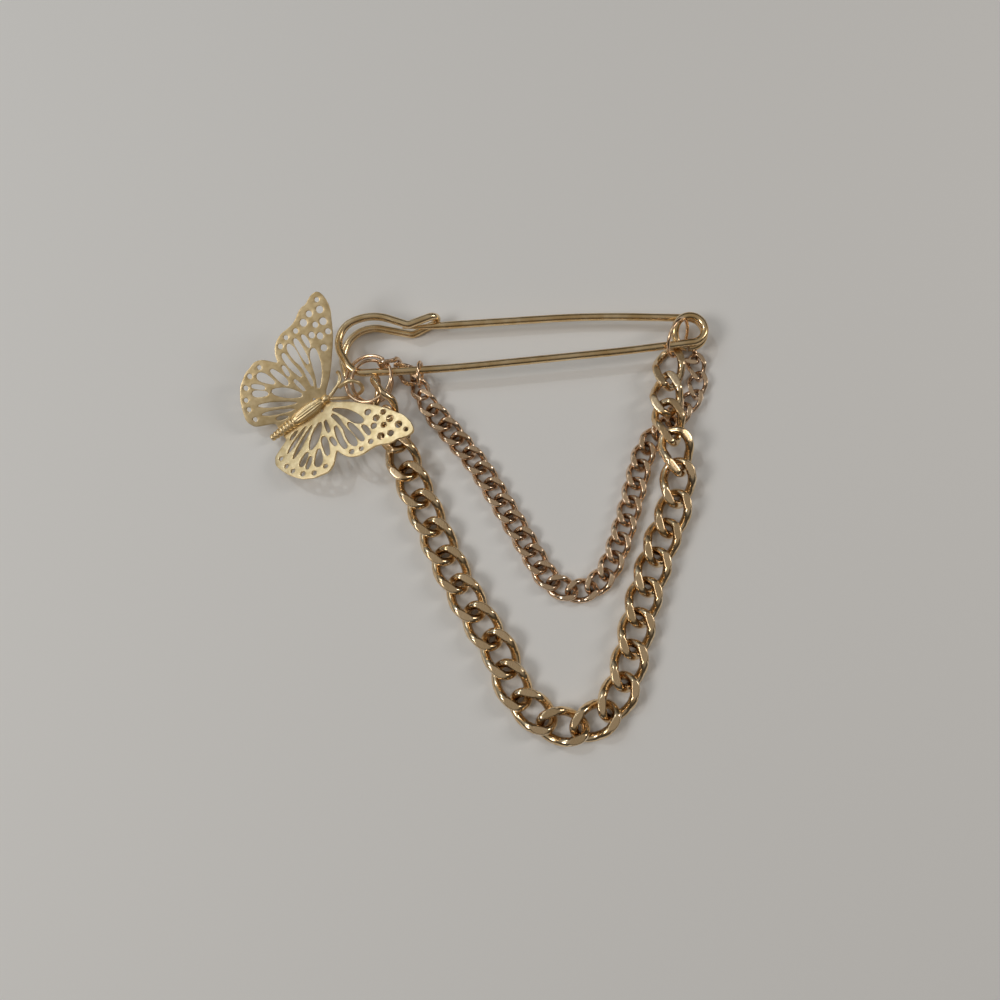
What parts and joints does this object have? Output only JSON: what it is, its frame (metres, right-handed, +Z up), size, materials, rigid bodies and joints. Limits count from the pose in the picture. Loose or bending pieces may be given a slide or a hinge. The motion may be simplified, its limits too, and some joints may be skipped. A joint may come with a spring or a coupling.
{
  "type": "chain lapel pin",
  "caption": "Large safety-pin brooch with two curb chains and a pierced butterfly, linked to it by jump rings.",
  "frame": {"origin": "middle of the bounding box on the table that the part lies on", "axes": "+X along the pin from its catch to its coil, +Y from the chains towards the sprung wire, +Z up from the table"},
  "size_m": [0.0908, 0.0824, 0.0121],
  "materials": {
    "pin_gold": "polished gold plate",
    "ring_gold": "polished pink gold plate",
    "chain_gold": "polished gold plate with brushed flats",
    "chain_rose": "polished rose gold plate",
    "butterfly_gold": "satin pale gold plate"
  },
  "bodies": {
    "brooch": {"pin_spine": "pin_gold", "ring_chain": "ring_gold", "ring_butterfly": "ring_gold", "ring_keeper": "ring_gold", "ring_coil": "ring_gold", "outer_chain": "chain_gold", "inner_chain": "chain_rose", "butterfly": "butterfly_gold"},
    "sprung_wire": {"pin_arm": "pin_gold"}
  },
  "joints": [
    {"name": "pin_spring", "type": "hinge", "parent": "brooch", "child": "sprung_wire", "pos_m": [0.04155, 0.03705, 0.0024], "axis": [0, 0, 1], "range_deg": [0, 5.5], "stiffness_Nm_per_rad": 0.3}
  ]
}
